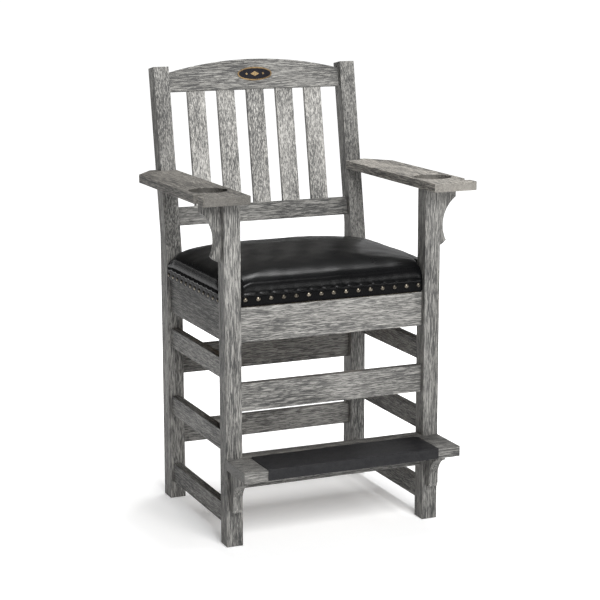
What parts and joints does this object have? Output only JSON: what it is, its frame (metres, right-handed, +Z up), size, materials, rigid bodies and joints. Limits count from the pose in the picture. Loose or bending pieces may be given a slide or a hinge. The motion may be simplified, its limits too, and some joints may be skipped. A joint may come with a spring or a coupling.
{
  "type": "spectator chair",
  "caption": "Tall wooden spectator chair with a padded leather seat, slatted leaning back, footrest with a metal plate, and flat arms with drink wells and cue rests",
  "frame": {"origin": "on the floor, under the middle of the whole chair's bounding box", "axes": "+Z up, the chair's front faces -Y, +X to the sitter's left, which is the right side of the chair seen from the front"},
  "size_m": [0.772, 0.7174, 1.2339],
  "materials": {
    "grey_wood": "weathered driftwood grey with dark open grain, satin",
    "plain_wood": "unfinished hidden wood",
    "black_leather": "glossy, fine grain",
    "antique_nail": "antique, dark patina",
    "black_plate": "black, semi-gloss",
    "badge_metal": "aged, satin",
    "badge_black": "black enamel, glossy",
    "fastener_steel": "zinc plated",
    "glide_plastic": "hard black plastic"
  },
  "bodies": {
    "root": {"arm_corbel_left": "grey_wood", "arm_corbel_right": "grey_wood", "arm_dowels": "plain_wood", "arm_left": "grey_wood", "arm_right": "grey_wood", "back_dowels": "plain_wood", "back_post_left": "grey_wood", "back_post_right": "grey_wood", "back_slat_1": "grey_wood", "back_slat_2": "grey_wood", "back_slat_3": "grey_wood", "back_slat_4": "grey_wood", "back_slat_5": "grey_wood", "badge_field": "badge_black", "badge_ornament": "badge_metal", "badge_plate": "badge_metal", "corbel_dowels": "plain_wood", "corner_block_front_left": "plain_wood", "corner_block_front_right": "plain_wood", "corner_block_rear_left": "plain_wood", "corner_block_rear_right": "plain_wood", "corner_bolts": "fastener_steel", "corner_nuts": "fastener_steel", "corner_washers": "fastener_steel", "crest_rail": "grey_wood", "floor_glides": "glide_plastic", "footrest_board": "grey_wood", "footrest_corbel_left": "grey_wood", "footrest_corbel_right": "grey_wood", "footrest_dowels": "plain_wood", "footrest_plate": "black_plate", "footrest_rail": "grey_wood", "frame_dowels": "plain_wood", "front_apron": "grey_wood", "front_leg_left": "grey_wood", "front_leg_right": "grey_wood", "front_stretcher": "grey_wood", "lower_back_rail": "grey_wood", "nailheads": "antique_nail", "rear_apron": "grey_wood", "rear_stretcher_middle": "grey_wood", "rear_stretcher_upper": "grey_wood", "seat_board": "plain_wood", "seat_cushion": "black_leather", "seat_screws": "fastener_steel", "side_apron_left": "grey_wood", "side_apron_right": "grey_wood", "side_stretcher_lower_left": "grey_wood", "side_stretcher_lower_right": "grey_wood", "side_stretcher_middle_left": "grey_wood", "side_stretcher_middle_right": "grey_wood", "side_stretcher_upper_left": "grey_wood", "side_stretcher_upper_right": "grey_wood"}
  },
  "joints": []
}
